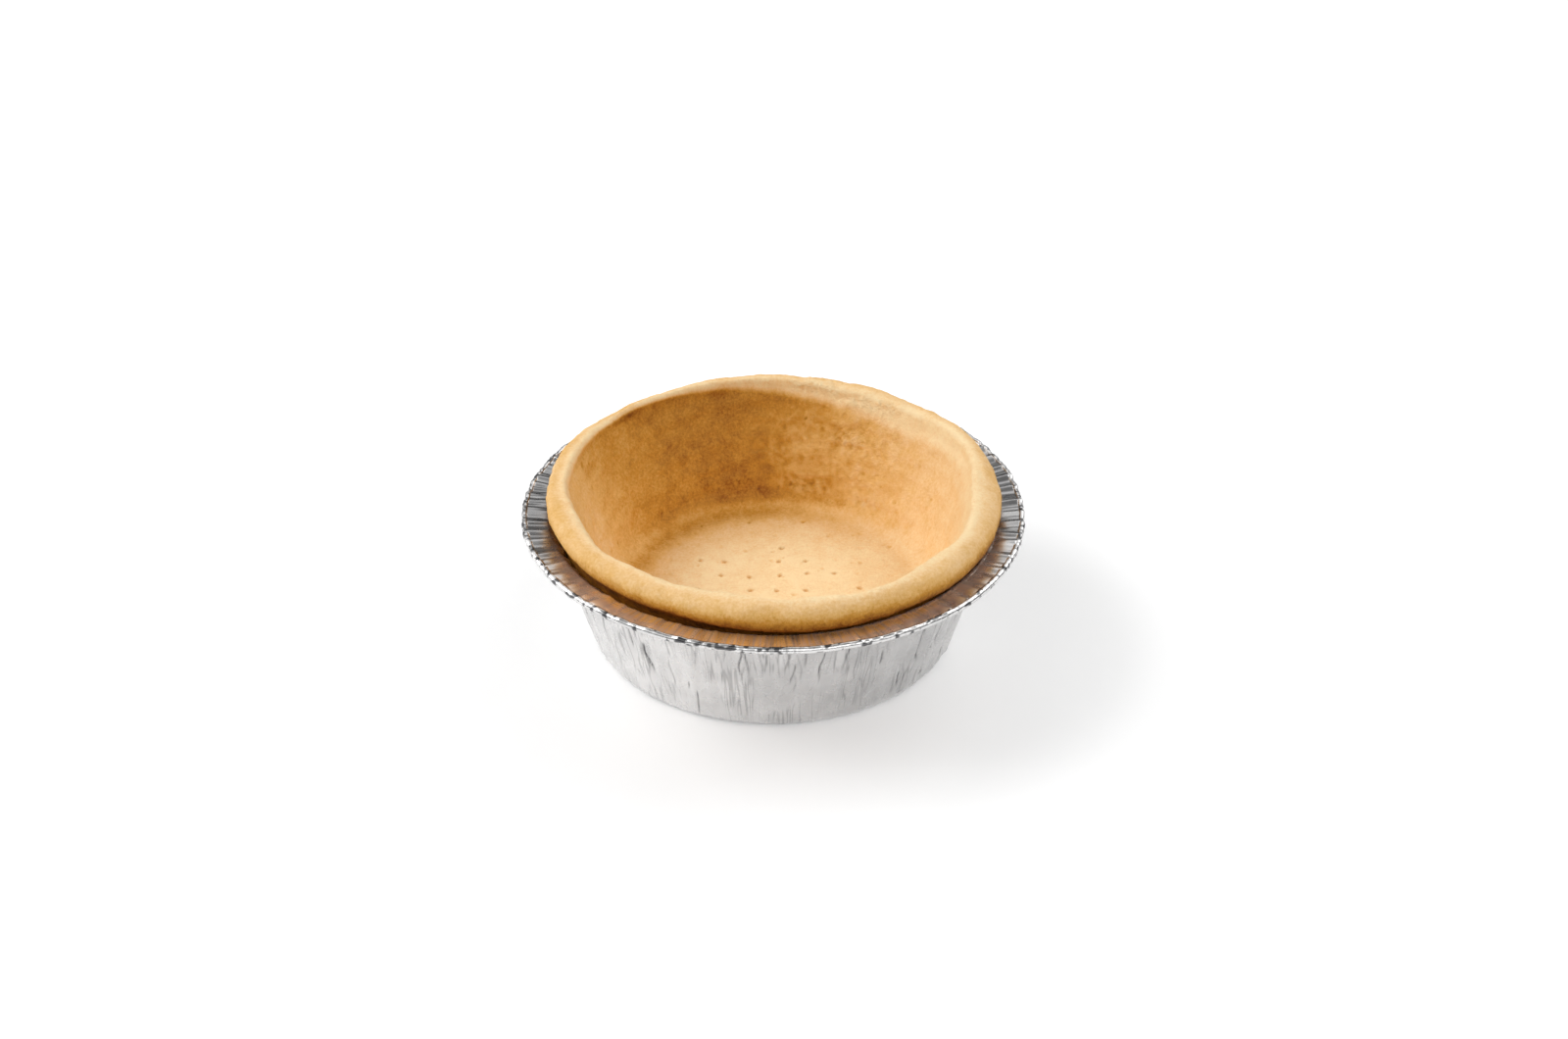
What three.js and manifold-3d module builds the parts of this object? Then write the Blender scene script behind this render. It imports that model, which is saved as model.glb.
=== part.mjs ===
// A small baked pastry case, empty, standing in the pleated foil dish that it was baked in.
//
// Millimetres, +Z up. The origin is the centre of the dish's base, on the surface it stands on.
// The -Y side is the front. Angles run anticlockwise from +X, seen from above.

import * as THREE from "three";
import { mergeVertices } from "three/addons/utils/BufferGeometryUtils.js";
import Module from "manifold-3d";

const TAU = 2 * Math.PI;
const radians = THREE.MathUtils.degToRad;
const smooth = (from, to, value) => THREE.MathUtils.smoothstep(value, from, to);

// ---- Driving sizes of the foil dish ----
const DISH_RADIUS = 60; // outside of the curled edge
const DISH_HEIGHT = 33.2; // top of the curled edge
const CURL_RADIUS = 0.8; // the curled edge is a bead of this radius
const MOUTH_RADIUS = 53.3; // where the wall turns over into the flange
const MOUTH_FILLET = 1.1;
const BASE_RADIUS = 41.6; // flat part of the base
const BASE_FILLET = 3;
const WALL_TILT = radians(15); // the wall's lean from upright
const FOIL = 0.3;
const FLANGE_RISE = 0.2; // from the mouth up to the curl
const EDGE_DIP = 0.45; // the edge is bent down by this on two sides and up on the other two
const EDGE_DIP_ANGLE = radians(-45);

// ---- Pleats, which run down the wall and across the flange ----
const PLEATS = 72;
const WALL_PLEAT = 0.34; // furthest that a fold stands off the smooth wall
const FLANGE_PLEAT = 0.3;
const SHALLOWEST_PLEAT = 0.35; // as a share of the deepest
const PLEAT_LEAN = 0.35; // how far a fold wanders sideways, in pleat widths
const PLEAT_SEED = 11;

// ---- Driving sizes of the pastry case ----
const CLEARANCE = 0.3; // between the pastry and the deepest fold of the foil
const CASE_HEIGHT = 39.9; // top of the rim above the table
const RIM_RADIUS = 53.7; // the rim bulges over the mouth of the dish
const RIM_THICKNESS = 5;
const RIM_ROUND = 2.5; // height of the rounded top of the rim
const NECK = [51.4, 32.2]; // radius and height of the groove under the rim, just inside the mouth
const LIP_ROUND = 1.8; // radius of the rim's rounded lower lip
const LIP_Z = 33.2;
const WELL_RADIUS = 38; // where the inner wall would meet the floor without its fillet
const WELL_FILLET = 3.4;
const FLOOR_Z = 9.2;

// The rim was pressed by hand: [angle in degrees, half width in degrees, millimetres].
const THICK_SPOTS = [
  [-160, 22, 1.6],
  [-128, 16, 1.2],
  [-106, 18, 1.6],
  [-65, 16, -1.2],
  [-43, 12, 0.8],
  [-6, 28, 2.2],
  [58, 32, 1.2],
  [105, 40, -1.4],
  [132, 34, -1.6],
];
const HIGH_SPOTS = [
  [92, 30, 0.2],
  [130, 36, -0.9],
  [143, 10, -0.3],
  [163, 18, 0.3],
  [-115, 16, -0.2],
  [-75, 60, -0.9],
  [22, 18, 0.2],
  [45, 16, -0.6],
  [63, 7, 0.25],
];
// Here the rim leans: its inner edge stands up by this, and its outer edge drops by as much.
const LEAN_SPOTS = [
  [-4, 45, 1],
  [-75, 60, 1],
];
// Here the lip stands higher or lower over the mouth.
const LIP_SPOTS = [
  [-148, 50, 2],
  [-138, 22, -0.7],
  [-110, 14, 0.6],
  [-80, 22, -0.5],
  [50, 100, 0.8],
];
const BULGE_SPOTS = [[-60, 90, 0.8]]; // here the rim bulges out further
const RELIEF = 0.16; // height of the uneven patches on the wall and the rim

// ---- Docking holes, pricked in the floor by a roller ----
const PRICK_PITCH = [6.8, 6.4];
const PRICK_ORIGIN = [1.3, 4.9];
const PRICK_JITTER = 1;
const PRICK_CENTRE = [1.5, 6]; // the holes stayed open here, and closed up further out
const PRICK_REACH = 26;
const PRICK_SHARE = 0.8; // open at the centre
const PRICK_RADIUS = 0.55;
const PRICK_DEPTH = 1.6;
const PRICK_SEED = 1924839;

const DISH_COLUMNS = 2 * PLEATS;
const CASE_COLUMNS = 96;

// ---- Helpers ----

// A repeatable stream of numbers from 0 to 1.
function randomStream(seed) {
  const modulus = 4294967296;
  let state = seed;
  return () => {
    state = (1664525 * state + 1013904223) % modulus;
    return state / modulus;
  };
}

// The sum, at an angle, of the round-topped bumps that the spots describe.
function bumps(spots, angle) {
  return spots.reduce((sum, [centre, halfWidth, height]) => {
    const away = Math.abs(Math.atan2(Math.sin(angle - radians(centre)), Math.cos(angle - radians(centre))));
    const share = Math.min(1, away / radians(halfWidth));
    return sum + (height * (1 + Math.cos(Math.PI * share))) / 2;
  }, 0);
}

// One row of a profile. The shares say how much of each irregularity the row takes.
const row = (radius, height, shares = {}) => ({ radius, height, ...shares });

// Rows along an arc, between two angles in degrees.
function arcRows(centreR, centreZ, radius, from, to, steps, shares = {}) {
  return Array.from({ length: steps + 1 }, (_, i) => {
    const angle = radians(from + ((to - from) * i) / steps);
    return row(centreR + radius * Math.cos(angle), centreZ + radius * Math.sin(angle), shares);
  });
}

// Turns the rows about Z, then moves each point to where place(row, angle, column) says.
function turned(rows, columns, place) {
  const profile = rows.map(({ radius, height }) => new THREE.Vector2(radius, height));
  const geometry = new THREE.LatheGeometry(profile, columns);
  const position = geometry.attributes.position;
  for (let i = 0; i < position.count; i++) {
    const column = Math.floor(i / rows.length) % columns;
    const [radius, angle, height] = place(rows[i % rows.length], (column / columns) * TAU, column);
    position.setXYZ(i, radius * Math.cos(angle), radius * Math.sin(angle), height);
  }
  return geometry;
}

// ---- The foil dish ----

const WALL_FOOT = [
  BASE_RADIUS + BASE_FILLET * Math.cos(WALL_TILT),
  BASE_FILLET - BASE_FILLET * Math.sin(WALL_TILT),
];
const FLANGE_Z = DISH_HEIGHT - CURL_RADIUS - FLANGE_RISE;
const WALL_HEAD = [MOUTH_RADIUS - MOUTH_FILLET, FLANGE_Z - MOUTH_FILLET];

// Radius of the smooth outer wall at a height.
function wallRadius(height) {
  const share = (height - WALL_FOOT[1]) / (WALL_HEAD[1] - WALL_FOOT[1]);
  return THREE.MathUtils.lerp(WALL_FOOT[0], WALL_HEAD[0], share);
}

function dishRows() {
  const curlR = DISH_RADIUS - CURL_RADIUS;
  const curlZ = DISH_HEIGHT - CURL_RADIUS;
  const middle = DISH_HEIGHT / 2;
  const tilt = THREE.MathUtils.radToDeg(WALL_TILT);
  const wall = { pleat: 1 };
  const flange = { ripple: 1, dip: 1 };
  return [
    row(0, 0),
    row(BASE_RADIUS, 0),
    ...arcRows(BASE_RADIUS, BASE_FILLET, BASE_FILLET, -52, -tilt, 1, { pleat: 0.4 }),
    row(wallRadius(middle), middle, wall),
    row(...WALL_HEAD, wall),
    row(MOUTH_RADIUS, FLANGE_Z - FOIL, flange),
    row(curlR - CURL_RADIUS, curlZ - FOIL, flange),
    ...arcRows(curlR, curlZ, CURL_RADIUS, -135, 135, 6, { dip: 1 }),
    row(curlR - CURL_RADIUS, curlZ, flange),
    row(MOUTH_RADIUS - FOIL, FLANGE_Z, flange),
    row(WALL_HEAD[0] - FOIL, WALL_HEAD[1], wall),
    row(wallRadius(middle) - FOIL, middle, wall),
    ...arcRows(BASE_RADIUS, BASE_FILLET, BASE_FILLET - FOIL, -tilt, -52, 1, { pleat: 0.4 }),
    row(BASE_RADIUS, FOIL),
    row(0, FOIL),
  ];
}

function foilDish() {
  const random = randomStream(PLEAT_SEED);
  const folds = Array.from({ length: DISH_COLUMNS }, (_, column) => ({
    depth: (column % 2 ? 1 : -1) * THREE.MathUtils.lerp(SHALLOWEST_PLEAT, 1, random()),
    lean: (random() - 0.5) * PLEAT_LEAN * (TAU / PLEATS),
  }));
  return turned(dishRows(), DISH_COLUMNS, ({ radius, height, pleat = 0, ripple = 0, dip = 0 }, angle, column) => {
    const { depth, lean } = folds[column];
    const bend = EDGE_DIP * Math.cos(2 * (angle - EDGE_DIP_ANGLE));
    return [
      radius + depth * WALL_PLEAT * pleat,
      angle + lean * Math.max(pleat, ripple),
      height + depth * FLANGE_PLEAT * ripple - bend * dip,
    ];
  });
}

// ---- The pastry case ----

function caseRows() {
  const bottom = FOIL + CLEARANCE;
  const inset = FOIL + WALL_PLEAT + CLEARANCE;
  const crestZ = CASE_HEIGHT - RIM_ROUND;
  const edge = [RIM_RADIUS - RIM_THICKNESS, crestZ];
  const filletTop = FLOOR_Z + WELL_FILLET;
  const filletEnd = WELL_RADIUS - WELL_FILLET;
  const slope = (edge[0] - WELL_RADIUS) / (edge[1] - FLOOR_Z);
  const outer = (height) => row(wallRadius(height) - inset, height);
  const crown = Array.from({ length: 7 }, (_, i) => {
    const angle = (Math.PI * i) / 6;
    const share = (1 - Math.cos(angle)) / 2; // 0 on the outside, 1 on the inside
    const height = crestZ + RIM_ROUND * Math.sin(angle);
    const shares = { raise: 1, relief: 1, thicken: share, bulge: 1 - share, inwards: 2 * share - 1 };
    return row(RIM_RADIUS - RIM_THICKNESS * share, height, shares);
  });
  const inner = (height) => {
    const share = smooth(filletTop, crestZ, height);
    const shares = { thicken: share, raise: share, inwards: share, relief: 1 };
    return row(WELL_RADIUS + slope * (height - FLOOR_Z), height, shares);
  };
  return [
    row(0, bottom),
    row(BASE_RADIUS - 2.4, bottom),
    row(BASE_RADIUS + 0.6, bottom + 1),
    outer(BASE_FILLET + 0.6),
    outer(DISH_HEIGHT / 2),
    outer(WALL_HEAD[1] - 0.6),
    row(...NECK),
    ...arcRows(RIM_RADIUS - LIP_ROUND, LIP_Z + LIP_ROUND, LIP_ROUND, -80, 0, 2, { lift: 1, bulge: 1 }),
    ...crown,
    inner(crestZ - 3.5),
    inner(crestZ - 10),
    inner(crestZ - 17),
    inner(filletTop),
    row(WELL_RADIUS - WELL_FILLET * 0.3, FLOOR_Z + WELL_FILLET * 0.3, { relief: 0.5 }),
    row(filletEnd, FLOOR_Z),
    row(0, FLOOR_Z),
  ];
}

function caseShell() {
  return turned(caseRows(), CASE_COLUMNS, (at, angle) => {
    const { radius, height, thicken = 0, bulge = 0, raise = 0, inwards = 0, lift = 0, relief = 0 } = at;
    const depth = Math.cos(13 * angle + 0.9 * height) * Math.cos(8 * angle - 0.5 * height);
    const outward = bumps(BULGE_SPOTS, angle) * bulge - bumps(THICK_SPOTS, angle) * thicken;
    const upward = bumps(HIGH_SPOTS, angle) * raise + bumps(LEAN_SPOTS, angle) * inwards;
    return [
      radius + outward - depth * RELIEF * relief,
      angle,
      height + upward + bumps(LIP_SPOTS, angle) * lift,
    ];
  });
}

// The spots where a docking hole stayed open.
function pricks() {
  const random = randomStream(PRICK_SEED);
  const jitter = () => (random() - 0.5) * 2 * PRICK_JITTER;
  const count = Math.ceil(PRICK_REACH / Math.min(...PRICK_PITCH)) + 1;
  const spots = [];
  for (let line = -count; line <= count; line++) {
    for (let pin = -count; pin <= count; pin++) {
      const x = PRICK_ORIGIN[0] + pin * PRICK_PITCH[0] + jitter();
      const y = PRICK_ORIGIN[1] + line * PRICK_PITCH[1] + jitter();
      const away = Math.hypot(x - PRICK_CENTRE[0], y - PRICK_CENTRE[1]) / PRICK_REACH;
      if (random() < PRICK_SHARE * (1 - away ** 2)) spots.push([x, y]);
    }
  }
  return spots;
}

const wasm = await Module();
wasm.setup();

function solidOf(geometry) {
  const bare = geometry.clone();
  bare.deleteAttribute("normal");
  bare.deleteAttribute("uv");
  const merged = mergeVertices(bare, 1e-4);
  const triVerts = new Uint32Array(merged.index.array);
  return new wasm.Manifold(
    new wasm.Mesh({ numProp: 3, vertProperties: merged.attributes.position.array, triVerts }),
  );
}

function geometryOf(solid) {
  const { vertProperties, triVerts } = solid.getMesh();
  const geometry = new THREE.BufferGeometry();
  geometry.setAttribute("position", new THREE.BufferAttribute(vertProperties, 3));
  geometry.setIndex(new THREE.BufferAttribute(triVerts, 1));
  return geometry;
}

function pastryCase() {
  const above = 0.5; // how far each cutting cone stands out of the floor
  let solid = solidOf(caseShell());
  for (const [x, y] of pricks()) {
    const hole = new THREE.ConeGeometry(PRICK_RADIUS, PRICK_DEPTH + above, 6);
    hole.rotateX(-Math.PI / 2);
    hole.translate(x, y, FLOOR_Z + (above - PRICK_DEPTH) / 2);
    solid = solid.subtract(solidOf(hole));
  }
  return geometryOf(solid);
}

// ---- The object ----

const FOIL_FINISH = new THREE.MeshStandardMaterial({ color: 0xd8d8d6, roughness: 0.35, metalness: 1 });
const PASTRY_FINISH = new THREE.MeshStandardMaterial({ color: 0xdcab6b, roughness: 0.85, metalness: 0 });

function part(name, geometry, finish) {
  const mesh = new THREE.Mesh(geometry, finish);
  mesh.name = name;
  return mesh;
}

const object = new THREE.Group();
object.add(part("foil_dish", foilDish(), FOIL_FINISH));
object.add(part("pastry_case", pastryCase(), PASTRY_FINISH));

export default object;
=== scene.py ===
"""An empty baked pastry case standing in the pleated foil dish that it was baked in.

Lengths are in millimetres until a mesh is written, in the frame's own axes: +Z is up, the origin
is the centre of the dish's base, and the -Y side is the front. Angles run anticlockwise from +X.
"""

import math

import bpy
import numpy as np
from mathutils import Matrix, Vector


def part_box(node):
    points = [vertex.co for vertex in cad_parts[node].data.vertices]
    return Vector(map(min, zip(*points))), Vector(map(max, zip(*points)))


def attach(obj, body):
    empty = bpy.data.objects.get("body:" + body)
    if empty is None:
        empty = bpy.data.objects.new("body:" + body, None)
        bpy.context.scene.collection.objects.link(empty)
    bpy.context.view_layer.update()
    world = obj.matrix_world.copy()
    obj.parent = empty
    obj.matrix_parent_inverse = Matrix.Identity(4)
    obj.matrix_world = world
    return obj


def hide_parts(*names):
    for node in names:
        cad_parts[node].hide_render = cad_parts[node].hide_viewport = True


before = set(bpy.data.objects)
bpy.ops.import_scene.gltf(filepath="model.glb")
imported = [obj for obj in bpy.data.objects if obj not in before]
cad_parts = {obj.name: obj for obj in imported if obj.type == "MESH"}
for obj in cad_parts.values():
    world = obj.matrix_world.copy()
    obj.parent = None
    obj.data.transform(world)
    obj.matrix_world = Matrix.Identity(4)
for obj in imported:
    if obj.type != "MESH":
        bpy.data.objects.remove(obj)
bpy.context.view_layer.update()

MM = 0.001
TAU = 2 * math.pi

# ---- Sizes that the frame gives ----
_, dish_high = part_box("foil_dish")
DISH_RADIUS = dish_high.x / MM

# ---- Sizes of the foil dish, as in the solid ----
CURL_RADIUS = 0.8
DISH_HEIGHT = 33.2
MOUTH_RADIUS = 53.3
MOUTH_FILLET = 1.1
BASE_RADIUS = 41.6
BASE_FILLET = 3
WALL_TILT = math.radians(15)
FOIL = 0.3
FLANGE_RISE = 0.2
CURL_JOIN = 0.5  # how far over the curl's centre the flange meets it
EDGE_DIP = 0.45
EDGE_DIP_ANGLE = math.radians(-45)

PLEATS = 72
WALL_PLEAT = 0.34
FLANGE_PLEAT = 0.3
SHALLOWEST_PLEAT = 0.35
PLEAT_LEAN = 0.35
PLEAT_SEED = 11

# ---- Sizes of the pastry case, as in the solid ----
CLEARANCE = 0.3
CASE_HEIGHT = 39.9
RIM_RADIUS = 53.7
RIM_THICKNESS = 5
RIM_ROUND = 2.5
NECK = (51.4, 32.2)
LIP_ROUND = 1.8
LIP_Z = 33.2
WELL_RADIUS = 38
WELL_FILLET = 3.4
FILLET_SAG = 0.3  # how far a fillet's middle lies off the corner, as a share of its radius
FLOOR_Z = 9.2
BASE_CHAMFER = 2.4
SIDE_STEP = 0.6  # from the base's fillet and from the wall's head to the hidden side's ends

# The rim was pressed by hand: (angle in degrees, half width in degrees, millimetres).
THICK_SPOTS = [
    (-160, 22, 1.6),
    (-128, 16, 1.2),
    (-106, 18, 1.6),
    (-65, 16, -1.2),
    (-43, 12, 0.8),
    (-6, 28, 2.2),
    (58, 32, 1.2),
    (105, 40, -1.4),
    (132, 34, -1.6),
]
HIGH_SPOTS = [
    (92, 30, 0.2),
    (130, 36, -0.9),
    (143, 10, -0.3),
    (163, 18, 0.3),
    (-115, 16, -0.2),
    (-75, 60, -0.9),
    (22, 18, 0.2),
    (45, 16, -0.6),
    (63, 7, 0.25),
]
LEAN_SPOTS = [(-4, 45, 1), (-75, 60, 1)]
LIP_SPOTS = [(-148, 50, 2), (-138, 22, -0.7), (-110, 14, 0.6), (-80, 22, -0.5), (50, 100, 0.8)]
BULGE_SPOTS = [(-60, 90, 0.8)]
RELIEF = 0.16
# The wall's gentle waves: (waves round the case, radians for each millimetre of height).
RELIEF_WAVES = ((13, 0.9), (8, -0.5))

PRICK_PITCH = (6.8, 6.4)
PRICK_ORIGIN = (1.3, 4.9)
PRICK_JITTER = 1
PRICK_CENTRE = (1.5, 6)
PRICK_REACH = 26
PRICK_SHARE = 0.8
PRICK_RADIUS = 0.55
PRICK_DEPTH = 1.6
PRICK_SEED = 1924839

# ---- Fineness of the two meshes ----
DISH_COLUMNS = 1024
CASE_COLUMNS = 512

# ---- The camera, fitted to the photograph ----
FRAME_WIDTH = 1600
SENSOR_WIDTH = 36
CAMERA_ELEVATION = math.radians(31.61)
CAMERA_DISTANCE = 480
CAMERA_AIM_Z = 33.6
CAMERA_LENS = 46.24
CAMERA_SHIFT = (11 / FRAME_WIDTH, -18.7 / FRAME_WIDTH)

# ---- The studio, in metres ----
# The square lights: (name, place, power in watts).
SOFTBOXES = [
    ("key", (-0.95, 0.2, 0.7), 8.4),
    ("fill", (0.75, 0.5, 0.77), 3.6),
    ("front", (0.3, -0.86, 0.77), 2.2),
]
SOFTBOX_SIZE = 0.8
# Light of the room by the sine of the height above the horizon: (place, brightness).
ROOM_LIGHT = [(0.1, 0.06), (0.44, 0.06), (0.54, 1.1), (0.76, 1.1), (0.9, 0.2)]
FLOOR_REACH = 6
# The floor's glow grows up to this distance, and stays white from there to the horizon.
GLOW_REACH = 2.5
GLOW = (1, 0.3)  # far off and near the object
GLOW_LOSS = 0.14  # right at the object

# The endless lattice of random lumps is read this far from its origin.
LUMP_SHIFT = 300
FOLD_SHIFT = 500


# ---- Numbers ----


def random_stream(seed):
    """The same repeatable numbers from 0 to 1 that the solid's pleats and prick holes use."""
    modulus = 4294967296
    state = seed
    while True:
        state = (1664525 * state + 1013904223) % modulus
        yield state / modulus


def either_way(random, furthest):
    """A random number from -furthest to furthest."""
    return (next(random) - 0.5) * 2 * furthest


def smooth(start, end, value):
    """0 up to start, 1 from end, and an S-shaped rise between them."""
    share = np.clip((value - start) / (end - start), 0, 1)
    return share * share * (3 - 2 * share)


def mix(first, second, share):
    return first + (second - first) * share


def turn_between(angle, centre):
    """The angle from centre to angle, the short way round."""
    return np.arctan2(np.sin(angle - centre), np.cos(angle - centre))


def towards(angle, centre, narrowness):
    """1 at centre, in degrees, and falling to 0 opposite it."""
    return (0.5 + 0.5 * np.cos(turn_between(angle, math.radians(centre)))) ** narrowness


def bumps(spots, angle):
    """The sum, at each angle, of the round-topped bumps that the spots describe."""
    total = np.zeros_like(angle)
    for centre, half_width, height in spots:
        away = np.abs(turn_between(angle, math.radians(centre)))
        share = np.minimum(1, away / math.radians(half_width))
        total += height * (1 + np.cos(math.pi * share)) / 2
    return total


def lumps(points, size, seed):
    """Smooth random values from -1 to 1, in lumps about size across."""
    cells = 64
    lattice = np.random.default_rng(seed).uniform(-1, 1, (cells, cells, cells))
    scaled = points / size
    base = np.floor(scaled).astype(int)
    share = scaled - base
    share = share * share * (3 - 2 * share)
    value = np.zeros(points.shape[:-1])
    for corner in np.ndindex(2, 2, 2):
        x, y, z = np.moveaxis((base + corner) % cells, -1, 0)
        weight = np.prod(np.where(corner, share, 1 - share), axis=-1)
        value += weight * lattice[x, y, z]
    return value


# ---- Profiles: rows of radius, height and shares, from the axis outwards and back ----


def steady(count, shares):
    """Each share with one value for all of count rows."""
    return {name: np.full(count, value, float) for name, value in shares.items()}


def line(start, end, count, **shares):
    """Rows from start up to, but not including, end."""
    share = np.arange(count) / count
    return {
        "radius": mix(start[0], end[0], share),
        "height": mix(start[1], end[1], share),
        **steady(count, shares),
    }


def arc(centre, radius, start, end, count, **shares):
    """Rows along an arc, between two angles in degrees, without the last."""
    angle = np.radians(mix(start, end, np.arange(count) / count))
    return {
        "radius": centre[0] + radius * np.cos(angle),
        "height": centre[1] + radius * np.sin(angle),
        **steady(count, shares),
    }


def joined(stretches, names):
    """The stretches as one profile. A share that a stretch doesn't name is 0 there."""
    return {
        name: np.concatenate([part.get(name, np.zeros(len(part["radius"]))) for part in stretches])
        for name in ("radius", "height", *names)
    }


def revolved(name, points, bottom, top):
    """A closed mesh from points[column, row], with one point on the axis at each end."""
    columns, rows, _ = points.shape
    vertices = np.concatenate([points.reshape(-1, 3), [bottom], [top]]) * MM
    index = np.arange(columns * rows).reshape(columns, rows)
    after = np.roll(index, -1, axis=0)
    quads = np.stack([index[:, :-1], after[:, :-1], after[:, 1:], index[:, 1:]], -1).reshape(-1, 4)
    low_pole = np.full(columns, columns * rows)
    high_pole = low_pole + 1
    low_fan = np.stack([low_pole, after[:, 0], index[:, 0]], -1)
    high_fan = np.stack([high_pole, index[:, -1], after[:, -1]], -1)
    mesh = bpy.data.meshes.new(name)
    faces = quads.tolist() + low_fan.tolist() + high_fan.tolist()
    mesh.from_pydata(vertices.tolist(), [], faces)
    mesh.polygons.foreach_set("use_smooth", np.ones(len(faces), bool))
    mesh.update()
    piece = bpy.data.objects.new(name, mesh)
    bpy.context.scene.collection.objects.link(piece)
    return piece


def paint(piece, name, values):
    """Stores one number for each point, for the material to read."""
    layer = piece.data.attributes.new(name, "FLOAT", "POINT")
    layer.data.foreach_set("value", np.append(values.reshape(-1), [0, 0]).astype(np.float32))


# ---- The foil dish ----

FLANGE_Z = DISH_HEIGHT - CURL_RADIUS - FLANGE_RISE
WALL_FOOT = (
    BASE_RADIUS + BASE_FILLET * math.cos(WALL_TILT),
    BASE_FILLET - BASE_FILLET * math.sin(WALL_TILT),
)
WALL_HEAD = (MOUTH_RADIUS - MOUTH_FILLET, FLANGE_Z - MOUTH_FILLET)


def wall_radius(height):
    share = (height - WALL_FOOT[1]) / (WALL_HEAD[1] - WALL_FOOT[1])
    return mix(WALL_FOOT[0], WALL_HEAD[0], share)


def dish_profile():
    """The dish's section: out under it, round the curled edge, and back inside it."""
    tilt = math.degrees(WALL_TILT)
    fillet = (BASE_RADIUS, BASE_FILLET)
    curl = (DISH_RADIUS - CURL_RADIUS, DISH_HEIGHT - CURL_RADIUS)
    bead_inside = curl[0] - CURL_RADIUS * math.cos(math.radians(45))
    under_bead = (bead_inside, curl[1] - CURL_RADIUS * math.sin(math.radians(45)))
    over_bead = (bead_inside, curl[1] + CURL_JOIN)
    mouth_outside = (MOUTH_RADIUS, FLANGE_Z - FOIL)
    mouth_inside = (MOUTH_RADIUS - FOIL, FLANGE_Z)
    head_inside = (WALL_HEAD[0] - FOIL, WALL_HEAD[1])
    foot_inside = (WALL_FOOT[0] - FOIL, WALL_FOOT[1])
    foot_turn = {"pleat": 0.5, "crease": 0.35}
    wall = {"pleat": 1, "crease": 1}
    head_turn = {"pleat": 0.7, "crease": 0.6, "ripple": 0.3}
    flange = {"ripple": 1, "dip": 1}
    return joined(
        [
            line((1, 0), (BASE_RADIUS, 0), 2),
            arc(fillet, BASE_FILLET, -90, -tilt, 7, **foot_turn),
            line(WALL_FOOT, WALL_HEAD, 36, **wall),
            line(WALL_HEAD, mouth_outside, 4, **head_turn),
            line(mouth_outside, under_bead, 5, **flange),
            arc(curl, CURL_RADIUS, -135, 135, 18, dip=1, bead=1),
            line(over_bead, mouth_inside, 14, **flange),
            line(mouth_inside, head_inside, 3, **head_turn),
            line(head_inside, foot_inside, 4, **wall),
            arc(fillet, BASE_FILLET - FOIL, -tilt, -90, 2, **foot_turn),
            line((BASE_RADIUS, FOIL), (1, FOIL), 1),
        ],
        ("pleat", "crease", "ripple", "dip", "bead"),
    )


def pleat_table():
    """The angle and depth of each side of each pleat, drawn in the same order as the solid's."""
    random = random_stream(PLEAT_SEED)
    count = 2 * PLEATS
    angles = np.empty(count)
    depths = np.empty(count)
    for column in range(count):
        sign = 1 if column % 2 else -1
        depths[column] = sign * mix(SHALLOWEST_PLEAT, 1, next(random))
        lean = (next(random) - 0.5) * PLEAT_LEAN * (TAU / PLEATS)
        angles[column] = column * TAU / count + lean
    return angles, depths


CREASES = 260
CREASE_WIDTH = (0.3, 0.5)
CREASE_DEPTH = (0.1, 0.45)
CREASE_LENGTH = (0.08, 0.5)  # as a share of the wall
CREASE_TOP = (0.3, 1.05)  # where a crease ends, as a share of the wall
CREASE_CROWDING = 0.6  # below 1, more creases end near the top
CREASE_FADE = (0.35, 0.2)  # at its foot and its top, as shares of its length
CREASE_SLANT = 4  # furthest sideways over the whole wall
CREASE_BEND = 0.35  # furthest that a crease bows off its slant
CREASE_WAVE = 9  # height of one bow and its return
CREASE_SEED = 23
OUTWARD_CREASES = 0.2  # share of the creases that stand out from the wall
# The inward creases get painted shade, from this darkness for the shallowest up to full for the
# tightest.
PALEST_CREASE = 0.4  # how dark the shallowest crease is
DEEPEST_CREASE = -0.6  # with the pleat, so that the foil stays off the pastry

FOLDS = 216
FOLD_STEPS = 16
FOLD_STEP = 7  # a fold's depth changes over this distance along it
FOLD_DRIFT = 1.1  # furthest that a fold strays sideways
FOLD_DRIFT_SIZE = 9
FOLD_DRIFT_SQUEEZE = 0.6  # along the fold
FOLD_SEED = 31
SMALL_FOLD_SEED = 37
WALL_FOLD = 0.17
# How far a fold and a small fold stand off: up from the flange, up and out from the curled edge.
FLANGE_FOLD = (0.22, 0.16)
BEAD_FOLD_UP = (0.2, 0.1)
BEAD_FOLD_OUT = (0.12, 0.08)
BEAD_INSET = 0.2  # keeps the folded edge inside the solid's radius

# Painted shade in dark lines along the folds of the flange, and painted dark reflections in dashes
# along the curled edge.
PINCH_DARKNESS = 0.3
DASH_SIZE = 0.9
DASH_DARKNESS = 0.9
DASH_SEED = 41

# Painted reflections and painted shade on the foil: dark dashes along the curled edge, the crust's
# brown reflection on the flange and round the mouth, and shade on parts of the flange and the wall:
# (angle in degrees, half width in degrees, share).
DARK_BEAD_SPOTS = [(-96, 26, 0.4), (180, 60, 0.15), (-40, 30, 0.1)]
BROWN_FLANGE_SPOTS = [(-96, 68, 1)]
BROWN_MOUTH_SPOTS = [(-90, 95, 1)]
MOUTH_REFLECTION = (1, 4)  # the brown round the mouth fades between these distances from it
SHADED_FLANGE_SPOTS = [(180, 50, 1.4), (12, 45, 1.1), (90, 60, 0.6), (-85, 30, 0.6)]
SHADED_WALL_SPOTS = [(-50, 45, 0.7), (-90, 40, 0.3)]


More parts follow.
